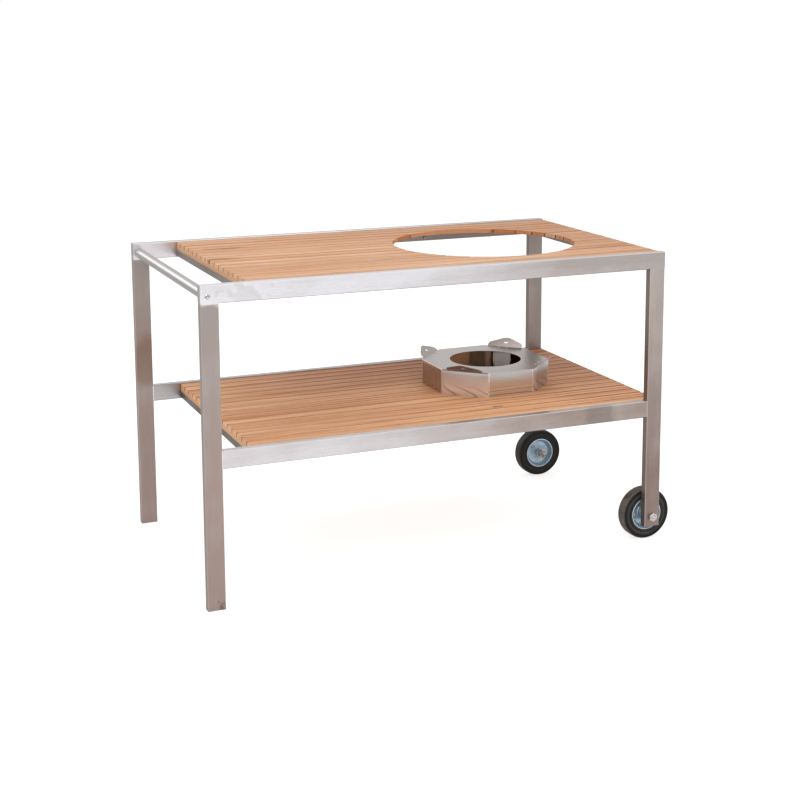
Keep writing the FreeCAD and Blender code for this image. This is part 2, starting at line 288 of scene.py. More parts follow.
def teak(name, light, dark, seed, gap_shade=None, along="x", rear=0.0, cut_out=False, knots=(),
         stains=()):
    """Teak sawn along X or Y, each slat from another board, its growth rings round a pith below.

    gap_shade: the colour of the slats' long sides, painted shade in the gaps between them
    rear: how much darker it is towards the rear right, as painted shade
    cut_out: the sawn rim of the cut-out gets its own colour
    knots: the places of knots, round which the grain turns
    stains: (place, reach, colour, weight) of each stain, its reach as near() takes it
    """
    finish = Finish(name, Specular_IOR_Level=0.3)
    along_x = along == "x"
    length, across = (finish.x, finish.y) if along_x else (finish.y, finish.x)
    if along_x:
        slat = finish.math("SUBTRACT", finish.y, panel_front - slat_gap / 2)
        board = finish.math("FLOOR", finish.math("DIVIDE", slat, slat_pitch))
    else:
        board = finish.math("FLOOR", finish.math("MULTIPLY", finish.x, 7.0))
    board = finish.math("ADD", board, seed)
    pick = finish.add("TexWhiteNoise", noise_dimensions="1D")
    finish.put(pick.inputs["W"], board)
    luck = finish.add("SeparateXYZ", pick.outputs["Color"]).outputs
    shift = finish.add("VectorMath", pick.outputs["Color"], (37.0, 19.0, 23.0),
                       operation="MULTIPLY").outputs[0]

    def drawn(lengthwise, crosswise, *noise):
        """A noise drawn out along the board, moved to another part of it for each board."""
        if along_x:
            place = finish.scaled(lengthwise, crosswise, crosswise, shift)
        else:
            place = finish.scaled(crosswise, lengthwise, crosswise, shift)
        return finish.noise(place, *noise)

    sway = finish.span(drawn(1.0, 9.0, 2.6, 3.0, 0.5), 0.25, 0.75, -0.020, 0.020)
    swirl = 0.0
    for x, y, z in knots:
        swirl = finish.math("ADD", swirl, finish.near(x, y, z, 0.085, 0.020, 0.03, 0.25, 30.0))
    if knots:
        sway = finish.math("ADD", sway, finish.math("MULTIPLY", swirl, 0.020))
    side = finish.math("ADD", finish.math("WRAP", across, slat_pitch, 0.0),
                       finish.span(luck[0], 0, 1, -0.075, 0.03))
    side = finish.math("ADD", side, sway)
    slope = finish.math("MULTIPLY", length, finish.span(luck[2], 0, 1, -0.02, 0.02))
    deep = finish.math("ADD", finish.span(luck[1], 0, 1, 0.006, 0.05), slope)
    deep = finish.math("ADD", deep, finish.math("WRAP", finish.z, 0.1, 0.0))
    growth = finish.math("SINE", finish.math("MULTIPLY", distance(finish, side, deep), 1050.0))
    fibre = drawn(7.0, 330.0, 1.0, 4.0, 0.62)
    vein = drawn(0.8, 60.0, 1.0, 3.0, 0.55)
    warmth = drawn(0.7, 24.0, 1.0, 2.0, 0.5)
    pore = finish.span(drawn(40.0, 1300.0, 1.0, 2.0, 0.5), 0.60, 0.72)
    share = finish.math("ADD", finish.span(growth, -1, 1, 0.05, 0.26),
                        finish.span(fibre, 0.3, 0.7, -0.16, 0.34))
    vivid = finish.math("MULTIPLY", finish.span(vein, 0.34, 0.66, -0.26, 0.52),
                        finish.span(finish.x, 0.1, 0.6, 1.0, 1.5))
    share = finish.math("ADD", share, vivid)
    share = finish.math("ADD", share, finish.span(pick.outputs["Value"], 0, 1, -0.12, 0.26))
    colour = finish.mix(finish.add("Clamp", share).outputs[0], light, dark)
    colour = finish.mix(finish.span(luck[1], 0, 1, 0.0, 0.16), colour, tone(226, 186, 158))
    colour = finish.mix(finish.span(warmth, 0.38, 0.64, 0.0, 0.42), colour, tone(214, 150, 100))
    colour = finish.mix(finish.math("MULTIPLY", pore, 0.30), colour, tone(126, 74, 38))
    if along_x:
        middle = finish.math("SUBTRACT", finish.y, panel_front + slat_width / 2)
        middle = finish.math("WRAP", middle, slat_pitch / 2, -slat_pitch / 2)
        sawn = finish.span(finish.math("ABSOLUTE", middle),
                           slat_width / 2 - 0.0011, slat_width / 2 - 0.0004)
        # Painted shade on the slats' long sides, in the gaps, stronger towards the rear right
        lit = finish.span(finish.math("ADD", finish.x, finish.y), -0.8, 0.5, 0.30, 1.0)
        colour = finish.mix(finish.math("MULTIPLY", sawn, lit), colour, gap_shade)
        # Painted shade in the gaps at the slats' left ends
        end_gap_shade = finish.span(finish.x, panel_end + 0.010, panel_end + 0.004)
        colour = finish.mix(finish.math("MULTIPLY", sawn, end_gap_shade), colour, tone(112, 58, 30))
        end = finish.span(finish.x, panel_end + 0.0012, panel_end + 0.0006, 0.0, 0.45)
        colour = finish.mix(end, colour, tone(240, 194, 152))
    # Painted shade: darker towards the rear right
    if rear:
        far = finish.math("ADD", finish.math("MULTIPLY", finish.x, 0.5), finish.y)
        colour = finish.mix(finish.span(far, -0.1, 0.45, 0.0, rear), colour, tone(123, 70, 42))
    if cut_out:
        away = distance(finish, finish.math("SUBTRACT", finish.x, cut_out_x), finish.y)
        rim = finish.span(away, cut_out_radius + 0.0015, cut_out_radius + 0.0008)
        rim = finish.math("MULTIPLY", rim, finish.span(luck[0], 0, 1, 0.1, 0.95))
        colour = finish.mix(rim, colour, tone(164, 100, 52))
    if knots:
        swirl = finish.add("Clamp", swirl).outputs[0]
        colour = finish.mix(finish.math("MULTIPLY", swirl, 0.60), colour, tone(134, 84, 54))
    for place, reach, shade, weight in stains:
        patch = finish.math("MULTIPLY", finish.near(*place, *reach), weight)
        colour = finish.mix(patch, colour, shade)
    height = finish.math("ADD", finish.math("MULTIPLY", fibre, 0.7),
                         finish.math("MULTIPLY", growth, 0.12))
    height = finish.math("SUBTRACT", height, pore)
    roughness = finish.span(fibre, 0.3, 0.7, 0.50, 0.66)
    return finish.finish(colour, roughness, height, 0.25, 0.0004)


def from_axle(finish):
    """The distance from the axle's line."""
    return distance(finish, finish.math("SUBTRACT", finish.x, axle_x),
                    finish.math("SUBTRACT", finish.z, axle_z))


def ring(finish, out, radius, reach):
    """1 at a radius, falling to 0 at its reach."""
    away = finish.math("ABSOLUTE", finish.math("SUBTRACT", out, radius))
    return finish.span(away, reach, 0.0, smooth=True)


def zinc():
    """Pressed steel with a blue zinc coat, patchy in tone, with painted shade on its sloped wall
    and in its seams, and painted highlights on its ridges.
    """
    finish = Finish("blue_zinc", Metallic=0.72)
    cloud = finish.noise(finish.place, 45.0, 4.0, 0.6)
    speck = finish.span(finish.noise(finish.place, 260.0, 3.0, 0.5), 0.60, 0.70)
    colour = finish.mix(finish.span(cloud, 0.35, 0.65), tone(152, 178, 196), tone(190, 208, 221))
    out = from_axle(finish)
    # Painted shade on the dish's wall and in the seams, painted highlights on the ridges
    wall = (0.0435, 0.0045, tone(104, 124, 140), 0.45)
    seams = [(0.0395, 0.0012, tone(52, 60, 66), 0.75), (0.0246, 0.0010, tone(70, 84, 96), 0.6),
             (0.0185, 0.0012, tone(60, 72, 82), 0.7)]
    ridge_highlights = [(0.0488, 0.0014, tone(232, 242, 248), 0.7),
              (0.0214, 0.0012, tone(228, 240, 248), 0.6)]
    for radius, reach, shade, weight in [wall] + seams + ridge_highlights:
        band = finish.math("MULTIPLY", ring(finish, out, radius, reach), weight)
        colour = finish.mix(band, colour, shade)
    colour = finish.mix(finish.math("MULTIPLY", speck, 0.35), colour, tone(120, 104, 92))
    rough = finish.span(cloud, 0.35, 0.65, 0.27, 0.37)
    return finish.finish(colour, rough, cloud, 0.04, 0.0004)


def rubber():
    """Solid black rubber, dusty on the tread it rolls on, with painted highlights on the ribs of
    its walls; both stronger on the front tyre.
    """
    finish = Finish("tyre_rubber", Specular_IOR_Level=0.22)
    grain = finish.noise(finish.place, 900.0, 3.0, 0.6)
    dust = finish.noise(finish.place, 38.0, 4.0, 0.6)
    out = from_axle(finish)
    # Stronger on the front tyre: the dust on the tread and the painted highlights on the ribs
    rolled = finish.span(finish.y, -0.3, 0.3, 1.0, 0.30)
    tread = finish.span(out, 0.0770, 0.0797, 0.0, 0.9, smooth=True)
    tread = finish.math("MULTIPLY", tread, rolled)
    colour = finish.mix(finish.span(dust, 0.45, 0.75, 0.0, 0.25), tone(17, 15, 14),
                        tone(38, 35, 32))
    tread = finish.math("MULTIPLY", tread, finish.span(dust, 0.3, 0.6, 0.35, 0.75))
    colour = finish.mix(tread, colour, tone(126, 116, 109))
    # Painted highlights: paler rings on the ribs and shoulders of the walls
    ribs = [(0.0768, 0.0012, 0.30), (0.0672, 0.0008, 0.34), (0.0622, 0.0050, 0.24),
            (0.0534, 0.0012, 0.42)]
    for radius, reach, weight in ribs:
        shine = finish.math("MULTIPLY", ring(finish, out, radius, reach), weight)
        shine = finish.math("MULTIPLY", shine, rolled)
        shine = finish.math("MULTIPLY", shine, finish.span(dust, 0.3, 0.6, 0.5, 1.0))
        colour = finish.mix(shine, colour, tone(130, 126, 122))
    return finish.finish(colour, finish.span(dust, 0.3, 0.7, 0.36, 0.54), grain, 0.18, 0.0004)


def fastener(name, bright, dark, rough):
    """Bright stainless fasteners with turning marks and a little grime."""
    finish = Finish(name, Metallic=1.0)
    cloud = finish.noise(finish.place, 160.0, 3.0, 0.6)
    fine = finish.noise(finish.place, 1500.0, 2.0, 0.5)
    colour = finish.mix(finish.span(cloud, 0.35, 0.68), bright, dark)
    roughness = finish.span(cloud, 0.3, 0.7, rough, rough + 0.12)
    return finish.finish(colour, roughness, fine, 0.05, 0.0002)


def stand_inside():
    """The inner faces of the stand's sides: painted reflections and painted shade in bands by the
    angle in degrees round its centre, brown, pale grey, a bright line, tan and black, and smooth
    where a pale sheet leans towards the hole."""
    finish = Finish("stand_inner_steel", Metallic=0.7)
    haze = finish.noise(finish.scaled(60.0, 60.0, 12.0), 1.0, 2.0, 0.5)
    angle = finish.math("ARCTAN2", finish.math("SUBTRACT", finish.y, stand_mid.y),
                        finish.math("SUBTRACT", finish.x, stand_mid.x))
    angle = finish.math("MULTIPLY", angle, 180 / math.pi)
    angle = finish.math("ADD", angle, finish.span(haze, 0.3, 0.7, -2.0, 2.0))

    def band(start, stop, soft):
        return finish.math("MINIMUM", finish.span(angle, start - soft, start),
                           finish.span(angle, stop + soft, stop))

    # Painted reflections and painted shade in bands round the centre
    colour = finish.mix(finish.span(haze, 0.3, 0.7), tone(146, 119, 98), tone(170, 142, 118))
    colour = finish.mix(band(41, 53, 4), colour, tone(158, 151, 146))
    colour = finish.mix(band(60.5, 65, 1.5), colour, tone(214, 200, 190))
    colour = finish.mix(band(84, 104, 6), colour, tone(222, 178, 140))
    colour = finish.mix(finish.span(angle, 39, 36), colour, tone(34, 28, 25))
    pale_sheet = band(39, 55, 3)
    lean = finish.math("MULTIPLY", finish.math("MULTIPLY", finish.z, -0.30), pale_sheet)
    rough = finish.math("SUBTRACT", finish.span(haze, 0.3, 0.7, 0.34, 0.42),
                        finish.math("MULTIPLY", pale_sheet, 0.22))
    return finish.finish(colour, rough, lean, 1.0, 1.0)


# The steel of the frame
DARK_MARK = tone(84, 72, 66)
# The painted shade of sides that face the handle end
SIDE_SHADE = tone(120, 104, 95)
# A grey patch where the front rail is ground beside the left leg, its reflection painted in
ground_reflection_patch = ((left_leg_low.x + 0.115, front, 0.872), (0.050, 0.03, 0.030, 1.1, 40.0),
                tone(206, 204, 206), 0.45)
rail_shadow = ((0.470, front, 0.415), (0.062, 0.03, 0.150, 0.10), tone(112, 100, 98), 0.42)
leg_marks = [((left_leg_low.x + 0.042, front, 0.007), (0.009, 0.03, 0.015, 1.3, 240.0),
              DARK_MARK, 0.62),
             ((left_leg_low.x + 0.030, front, 0.024), (0.003, 0.03, 0.003, 0.4), DARK_MARK, 0.6),
             ((left_leg_low.x + 0.025, inner_face, 0.53), (0.08, 0.03, 0.10, 0.2, 12.0),
              tone(126, 98, 74), 0.50)]
rail_steel = brushed("top_rail_steel", 0, tone(198, 188, 184), tone(243, 241, 246), (0.22, 0.34),
                     painted_sheen=(-0.24, 0.50), side_shade=SIDE_SHADE, inner_shade=tone(140, 126, 119),
                     inside_top=top_high.z, top_shade=0.35, top_shade_rear=0.66, painted_edge_light=0.5,
                     marks=[ground_reflection_patch])
shelf_rail_steel = brushed("shelf_rail_steel", 0, tone(174, 157, 147), tone(232, 228, 231),
                           (0.22, 0.34), painted_sheen=(-0.45, 0.44), side_shade=SIDE_SHADE, inner_shade=tone(104, 90, 82),
                           inside_top=shelf_high.z, rear=0.34, top_shade=0.30, top_shade_rear=0.62,
                           painted_edge_light=0.6, marks=[rail_shadow])
# The legs' lower parts change tone, as painted shade
left_leg_steel = brushed("left_leg_steel", 2, tone(158, 149, 145), tone(198, 194, 194),
                         (0.28, 0.42), side_shade=tone(132, 109, 96), low=tone(164, 145, 138),
                         low_from=(0.40, 0.85), ground=True, painted_edge_light=0.25, marks=leg_marks,
                         metallic=0.65)
right_leg_steel = brushed("right_leg_steel", 2, tone(178, 167, 161), tone(212, 204, 202),
                          (0.28, 0.42), side_shade=SIDE_SHADE, low=tone(141, 122, 114), rear=0.34, painted_edge_light=0.4,
                          metallic=0.65)
# The cross tubes under the shelf are painted darker, as painted shade
cross_steel = brushed("cross_tube_steel", 1, tone(142, 131, 127), tone(176, 168, 165),
                      (0.30, 0.44), low=tone(102, 90, 83), low_from=(0.55, 0.70))
bar_steel = brushed("handle_bar_steel", 1, tone(156, 151, 151), tone(168, 165, 166),
                    (0.30, 0.34), grain=0.02, bump=0.0)

# The steel of the stand: its left tab and right corner get painted shade, brown like the wood they
# face, and the ends of its sides painted highlights
EDGE_SHINE = tone(252, 249, 247)
tab_shade = ((stand_mid.x - 0.145, stand_mid.y - 0.145, plate_high.z - 0.006),
             (0.09, 0.09, 0.030, 0.1), tone(116, 80, 52), 0.6)
corner_shade = ((stand_high.x - 0.04, stand_low.y + 0.04, stand_mid.z - 0.02),
                (0.09, 0.09, 0.09, 0.1), tone(116, 90, 72), 0.52)
side_ends = []
for side in (-1, 1):
    for end in (-1, 1):
        front_end = stand_mid + X * (end * side_half) + Y * (side * stand_half)
        flank_end = stand_mid + X * (side * stand_half) + Y * (end * side_half)
        side_ends.append((front_end, (0.0044, 0.02, 0.2, 0.0), EDGE_SHINE,
                          0.9 if end < 0 else 0.5))
        side_ends.append((flank_end, (0.02, 0.0040, 0.2, 0.0), EDGE_SHINE, 0.6))
# The tabs, above the plate, are painted darker than the plate, as painted shade
plate_steel = brushed("stand_plate_steel", 0, tone(162, 154, 150), tone(182, 176, 173),
                      (0.24, 0.32), grain=0.02, low=tone(192, 183, 179),
                      low_from=(tab_foot, tab_foot + 0.006), bump=0.01, marks=[tab_shade])
# Painted reflections of the wood: the face towards the handle end brown, the lower part warmer
side_steel = brushed("stand_side_steel", 2, tone(196, 190, 188), tone(206, 202, 201),
                     (0.16, 0.22), grain=0.03, low=tone(206, 196, 184),
                     low_from=(stand_low.z + 0.030, stand_low.z + 0.066), side_shade=tone(158, 122, 90),
                     sharp_below=stand_low.z + 0.034, bump=0.004, marks=side_ends, metallic=0.85)
# Paler towards the bottom, as a painted reflection
corner_steel = brushed("stand_corner_steel", 2, tone(200, 195, 194), tone(214, 210, 209),
                       (0.18, 0.26), grain=0.03, low=tone(228, 218, 212),
                       low_from=(stand_low.z + 0.020, stand_low.z + 0.060),
                       sharp_below=stand_low.z + 0.026, bump=0.004, metallic=0.75,
                       marks=[corner_shade])
inner_steel = stand_inside()

# The wood, with a knot in two of the top's slats and two stains on the shelf
top_knots = [(-0.4975, 0.200, 0.897), (-0.575, 0.010, 0.897)]
shelf_stains = [((0.1975, -0.272, 0.443), (0.028, 0.008, 0.01), tone(70, 62, 62), 0.85),
                ((0.1625, -0.220, 0.443), (0.026, 0.008, 0.01), tone(150, 146, 152), 0.6)]
top_teak = teak("top_teak", tone(222, 181, 147), tone(172, 114, 68), 3.0, tone(134, 88, 58),
                rear=0.25, cut_out=True, knots=top_knots)
batten_teak = teak("batten_teak", tone(228, 184, 144), tone(196, 142, 98), 40.0, along="y")
shelf_teak = teak("shelf_teak", tone(251, 204, 159), tone(189, 118, 66), 71.0, tone(122, 76, 48),
                  rear=0.68, stains=shelf_stains)

# The fasteners and wheels
bright_steel = fastener("bright_fastener_steel", tone(236, 230, 226), tone(176, 164, 158), 0.18)
screw_steel = fastener("screw_steel", tone(252, 250, 248), tone(126, 108, 98), 0.12)
thread_steel = fastener("thread_steel", tone(206, 194, 188), tone(62, 50, 44), 0.16)
rail_bolt_steel = fastener("rail_bolt_steel", tone(190, 178, 170), tone(22, 18, 16), 0.14)
zinc_coat = zinc()
tyre_rubber = rubber()

for name, node in NODES.items():
    if "shelf_rail" in name:
        material = shelf_rail_steel
    elif "rail" in name or name.startswith("leg_end"):
        material = rail_steel
    elif name.endswith("leg"):
        material = left_leg_steel if "left" in name else right_leg_steel
    elif "cross_tube" in name:
        material = cross_steel
    elif "handle_bar" in name:
        material = bar_steel
    elif "batten" in name:
        material = batten_teak
    elif name.startswith("top_slat"):
        material = top_teak
    elif name == "shelf_slats":
        material = shelf_teak
    elif name.endswith("tyre"):
        material = tyre_rubber
    elif name.endswith("wheel_rim"):
        material = zinc_coat
    elif name.startswith("stand"):
        material = plate_steel
    else:
        material = bright_steel
    node.data.materials.clear()
    node.data.materials.append(material)


# Shapes
def piece(name, shape, body, material, replaces=(), sharp=32.0, hidden=None):
    """A bmesh made into a named piece that rides on a body."""
    bmesh.ops.recalc_face_normals(shape, faces=shape.faces)
    for face in shape.faces:
        face.smooth = True
    for edge in shape.edges:
        if len(edge.link_faces) == 2 and edge.calc_face_angle() > math.radians(sharp):
            edge.smooth = False
    mesh = bpy.data.meshes.new(name)
    shape.to_mesh(mesh)
    shape.free()
    mesh.materials.append(material)
    if hidden:
        mesh.materials.append(hidden)
    item = bpy.data.objects.new(name, mesh)
    bpy.context.scene.collection.objects.link(item)
    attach(item, body)
    if replaces:
        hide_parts(*replaces)
    return item


def rounded(corners, closed=True, steps=4):
    """A line through corners (a, b, radius), each of them rounded."""
    line = []
    count = len(corners)
    for i, (a, b, radius) in enumerate(corners):
        here = Vector((a, b))
        ends = not closed and i in (0, count - 1)
        if radius == 0 or ends:
            line.append(here)
            continue
        back = (Vector(corners[i - 1][:2]) - here).normalized()
        ahead = (Vector(corners[(i + 1) % count][:2]) - here).normalized()
        half = back.angle(ahead) / 2
        start = here + back * (radius / math.tan(half))
        centre = here + (back + ahead).normalized() * (radius / math.sin(half))
        arm = start - centre
        stop = here + ahead * (radius / math.tan(half)) - centre
        turn = math.atan2(arm.x * stop.y - arm.y * stop.x, arm.dot(stop))
        for k in range(steps + 1):
            t = turn * k / steps
            line.append(centre + Vector((arm.x * math.cos(t) - arm.y * math.sin(t),
                                         arm.x * math.sin(t) + arm.y * math.cos(t))))
    return line


def lathe(shape, rings, origin, axis, turns=72, loop=False):
    """Add a turned form: each ring is (radius, height), either of which may follow the angle.
    A loop joins its last ring to its first, and any other form is closed by a face at each end."""
    side = X if abs(axis.x) < 0.5 else Z
    other = axis.cross(side)
    rows = []
    for radius, height in rings:
        row = []
        for k in range(turns):
            t = 2 * math.pi * k / turns
            r = radius(t) if callable(radius) else radius
            h = height(t) if callable(height) else height
            spot = origin + axis * h + side * (r * math.cos(t)) + other * (r * math.sin(t))
            row.append(shape.verts.new(spot))
        rows.append(row)
    pairs = list(zip(rows, rows[1:]))
    if loop:
        pairs.append((rows[-1], rows[0]))
    for low, high in pairs:
        for k in range(turns):
            n = (k + 1) % turns
            shape.faces.new((low[k], low[n], high[n], high[k]))
    if not loop:
        shape.faces.new(rows[0])
        shape.faces.new(rows[-1])


def hexagon(flats):
    """The reach of a hexagon at an angle."""
    return lambda t: flats / 2 / math.cos((t + math.pi / 6) % (math.pi / 3) - math.pi / 6)


def hex_head(shape, flats, height, origin, axis, bore=0.0):
    """A hexagon head or nut with its corners turned off to a cone."""
    reach = hexagon(flats)
    flat = flats / 2 * 0.97
    slope = math.tan(math.radians(30))

    def drop(t):
        return height - max(0.0, reach(t) - flat) * slope

    rings = [(reach, 0.0), (reach, drop), (flat, height)]
    if bore:
        rings = [(bore, 0.0)] + rings + [(bore, height)]
        lathe(shape, rings, origin, axis, loop=True)
    else:
        lathe(shape, rings + [(flat * 0.6, height)], origin, axis)


def button_head(shape, radius, height, socket, depth, origin, axis):
    """A domed screw head with a hexagon socket."""
    wall = hexagon(socket)
    rings = [(radius, 0.0), (radius, height * 0.2)]
    top = wall(0) * 1.12
    for k in range(1, 7):
        t = math.pi / 2 * k / 6
        rings.append((top + (radius - top) * math.cos(t), height * (0.2 + 0.8 * math.sin(t))))
    rings += [(wall, height * 0.985), (wall, height - depth), (socket * 0.2, height - depth * 1.1)]
    lathe(shape, rings, origin, axis)


def threaded(shape, radius, pitch, depth, start, length, origin, axis):
    """A screw thread as one helical skin, ending in a chamfer."""
    steps = max(8, int(length / pitch * 8))

    def skin(height):
        def reach(t):
            phase = (height / pitch - t / (2 * math.pi)) % 1.0
            crest = 1.0 - abs(2.0 * phase - 1.0)
            end = min(1.0, (start + length - height) / pitch)
            return radius - depth * (1.0 - crest) - (1.0 - end) * depth * 1.4
        return reach

    heights = [start + length * k / steps for k in range(steps + 1)]
    rings = [(skin(height), height) for height in heights]
    lathe(shape, rings + [(radius * 0.4, start + length)], origin, axis, turns=48)


def dome(shape, radius, height, origin, axis, dimple=0.0):
    """A rivet head, with a dimple of a radius in its middle."""
    rings = [(radius, 0.0)]
    for k in range(1, 6):
        t = math.pi / 2 * k / 6
        rings.append((radius * math.cos(t), height * math.sin(t)))
    if dimple:
        rings += [(dimple, height), (dimple * 0.8, height * 0.45)]
    lathe(shape, rings, origin, axis, turns=24)


def sweep(shape, section, start, along, out, up):
    """Add a closed section, in (out, up), drawn along a line."""
    ends = [[shape.verts.new(base + out * a + up * b) for a, b in section]
            for base in (start, start + along)]
    count = len(section)
    for k in range(count):
        n = (k + 1) % count
        shape.faces.new((ends[0][k], ends[0][n], ends[1][n], ends[1][k]))
    shape.faces.new(ends[0])
    shape.faces.new(ends[1])


def cut_sheet(shape, outlines, thickness, eased, matrix):
    """Add a flat sheet cut to outlines, the first of them its outside, with eased edges."""
    curve = bpy.data.curves.new("outline", "CURVE")
    curve.dimensions = "2D"
    curve.fill_mode = "BOTH"
    for outline in outlines:
        spline = curve.splines.new("POLY")
        spline.points.add(len(outline) - 1)
        for point, (a, b) in zip(spline.points, outline):
            point.co = (a, b, 0, 1)
        spline.use_cyclic_u = True
    curve.extrude = thickness / 2 - eased
    curve.bevel_depth = eased
    curve.bevel_resolution = 1
    curve.offset = -eased
    holder = bpy.data.objects.new("outline", curve)
    mesh = bpy.data.meshes.new_from_object(holder)
    mesh.transform(matrix @ Matrix.Translation((0, 0, -thickness / 2)))
    shape.from_mesh(mesh)
    bpy.data.objects.remove(holder)
    bpy.data.meshes.remove(mesh)
    bpy.data.curves.remove(curve)


# Wheels
wheel_radius = (tyre_high.z - tyre_low.z) / 2
tyre_half = (tyre_high.y - tyre_low.y) / 2
rim_radius = 49.5 * MM
dish_radius = 38.7 * MM
hub_radius = 13.5 * MM
hub_bore = 10.05 * MM
hub_half = (rim_high.y - rim_low.y) / 2
sheet = 2.0 * MM
groove_count = 7
groove_width = 1.5 * MM
groove_depth = 1.1 * MM
rim_rivet_count = 4
rim_rivet_ring = 31.0 * MM
rim_rivet_turn = 8


def tyre_section():
    """The tyre's section from rim to rim, with the grooves of its tread between its two walls."""
    tread_half = tyre_half - 6.2 * MM
    step = 2 * tread_half / groove_count
    crown = 0.7 * MM
    line = []
    for i in range(groove_count):
        middle = -tread_half + step * (i + 0.5)
        for place, drop in ((-0.5, 0), (-0.42, 1), (0.42, 1), (0.5, 0)):
            y = middle + place * groove_width
            line.append((wheel_radius - crown * (y / tyre_half) ** 2 - drop * groove_depth, y))
    side = rounded([(wheel_radius - 0.4 * MM, tread_half, 0),
                    (wheel_radius - 1.3 * MM, tyre_half - 0.9 * MM, 5.0 * MM),
                    (69.0 * MM, tyre_half - 0.6 * MM, 1.2 * MM),
                    (67.6 * MM, tyre_half - 1.6 * MM, 0.5 * MM),
                    (66.4 * MM, tyre_half - 0.9 * MM, 1.0 * MM),
                    (58.0 * MM, tyre_half - 1.6 * MM, 6.0 * MM),
                    (53.6 * MM, tyre_half - 0.2 * MM, 1.6 * MM),
                    (50.6 * MM, tyre_half - 0.8 * MM, 0.8 * MM),
                    (49.2 * MM, tyre_half - 3.0 * MM, 0)], closed=False)
    side = [(point.x, point.y) for point in side]
    return [(r, -y) for r, y in reversed(side)] + line + side


def rim_section():
    """The pressed rim with its rolled lip, dish, ring round the hub, and hub tube."""
    outer = rounded([(rim_radius - 0.3 * MM, tyre_half - 3.0 * MM, 0),
                     (rim_radius + 0.6 * MM, tyre_half - 0.2 * MM, 0.6 * MM),
                     (rim_radius - 2.0 * MM, tyre_half + 0.2 * MM, 0.8 * MM),
                     (dish_radius + 2.2 * MM, 5.0 * MM, 3.0 * MM),
                     (dish_radius - 1.0 * MM, sheet, 1.6 * MM), (24.5 * MM, sheet, 1.0 * MM),
                     (22.4 * MM, sheet + 2.0 * MM, 0.9 * MM),
                     (20.4 * MM, sheet + 2.0 * MM, 0.9 * MM),
                     (18.6 * MM, sheet + 0.2 * MM, 1.0 * MM),
                     (hub_radius + 1.2 * MM, sheet + 0.4 * MM, 0.8 * MM),
                     (hub_radius, sheet + 2.6 * MM, 1.0 * MM), (hub_radius, hub_half, 0.5 * MM),
                     (hub_bore, hub_half, 0.3 * MM), (hub_bore, 0, 0)], closed=False)
    outer = [(point.x, point.y) for point in outer]
    return outer + [(r, -y) for r, y in reversed(outer[:-1])]


for name in ("front", "rear"):
    low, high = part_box(name + "_tyre")
    middle = Vector((axle_x, (low.y + high.y) / 2, axle_z))
    shape = bmesh.new()
    lathe(shape, tyre_section(), middle, Y, turns=128, loop=True)
    piece(name + "_ribbed_tyre", shape, name + "_wheel", tyre_rubber,
          [name + "_tyre"], 38)
    shape = bmesh.new()
    lathe(shape, rim_section(), middle, Y, turns=96, loop=True)
    piece(name + "_pressed_rim", shape, name + "_wheel", zinc_coat,
          [name + "_wheel_rim"], 50)
    shape = bmesh.new()
    for k in range(rim_rivet_count):
        angle = math.radians(rim_rivet_turn + 360 / rim_rivet_count * k)
        arm = X * (rim_rivet_ring * math.cos(angle)) + Z * (rim_rivet_ring * math.sin(angle))
        spot = middle + arm
        for face in (-1, 1):
            dome(shape, 4.0 * MM, 1.8 * MM, spot + Y * (face * sheet), Y * face)
    piece(name + "_rim_rivets", shape, name + "_wheel", bright_steel)

# Axle bolts, nuts and washers
bolt_radius = 8.0 * MM
shank_length = 73.0 * MM
thread_length = 27.0 * MM
thread_pitch = 2.0 * MM
thread_depth = 1.1 * MM
head_flats = 24.0 * MM
head_height = 10.0 * MM
collar_height = 0.8 * MM
collar_radius = head_flats * 0.47
collar_overlap = 0.1 * MM
shank_overlap = 1.0 * MM
nut_height = 13.0 * MM
washer_bore = 8.3 * MM
washer_radius = 15.0 * MM
washer_height = 3.0 * MM
washer_section = [(point.x, point.y) for point in rounded(
    [(washer_bore, 0, 0.3 * MM), (washer_radius, 0, 0.4 * MM),
     (washer_radius, washer_height, 0.8 * MM), (washer_bore, washer_height, 0.4 * MM)])]
heads = bmesh.new()
threads = bmesh.new()
nuts = bmesh.new()
washers = bmesh.new()
for side in (-1, 1):
    out = Y * side
    face = Vector((axle_x, side * outer_face, axle_z))
    nut_seat = Vector((axle_x, side * nut_high.y, axle_z))
    washer_seat = Vector((axle_x, side * washer_high.y, axle_z))
    hex_head(heads, head_flats, head_height - collar_height, face + out * collar_height, out)
    lathe(heads, [(collar_radius, 0.0), (collar_radius, collar_height + collar_overlap)], face, out)
    lathe(heads, [(bolt_radius, 0.0), (bolt_radius, shank_length + shank_overlap)], face, -out)
    threaded(threads, bolt_radius, thread_pitch, thread_depth, shank_length, thread_length,
             face, -out)
    hex_head(nuts, head_flats, nut_height, nut_seat, -out, bore=bolt_radius * 0.98)
    lathe(washers, washer_section, washer_seat, -out, loop=True)
piece("axle_bolt_heads", heads, "frame", bright_steel, ["axle_bolts"])
piece("axle_bolt_threads", threads, "frame", thread_steel, sharp=60)
piece("axle_hex_nuts", nuts, "frame", thread_steel, ["axle_nuts"])
piece("axle_plain_washers", washers, "frame", bright_steel, ["axle_washers"])

# Handle screws
screw_x = (screw_low.x + screw_high.x) / 2
screw_z = (screw_low.z + screw_high.z) / 2
shape = bmesh.new()
for side in (-1, 1):
    seat = Vector((screw_x, side * outer_face, screw_z))
    button_head(shape, 7.5 * MM, 4.0 * MM, 5.0 * MM, 2.4 * MM, seat, Y * side)
    lathe(shape, [(4.0 * MM, 0.0), (4.0 * MM, 39.0 * MM)], seat, Y * -side, turns=32)
piece("handle_button_screws", shape, "frame", screw_steel, ["handle_screws"])

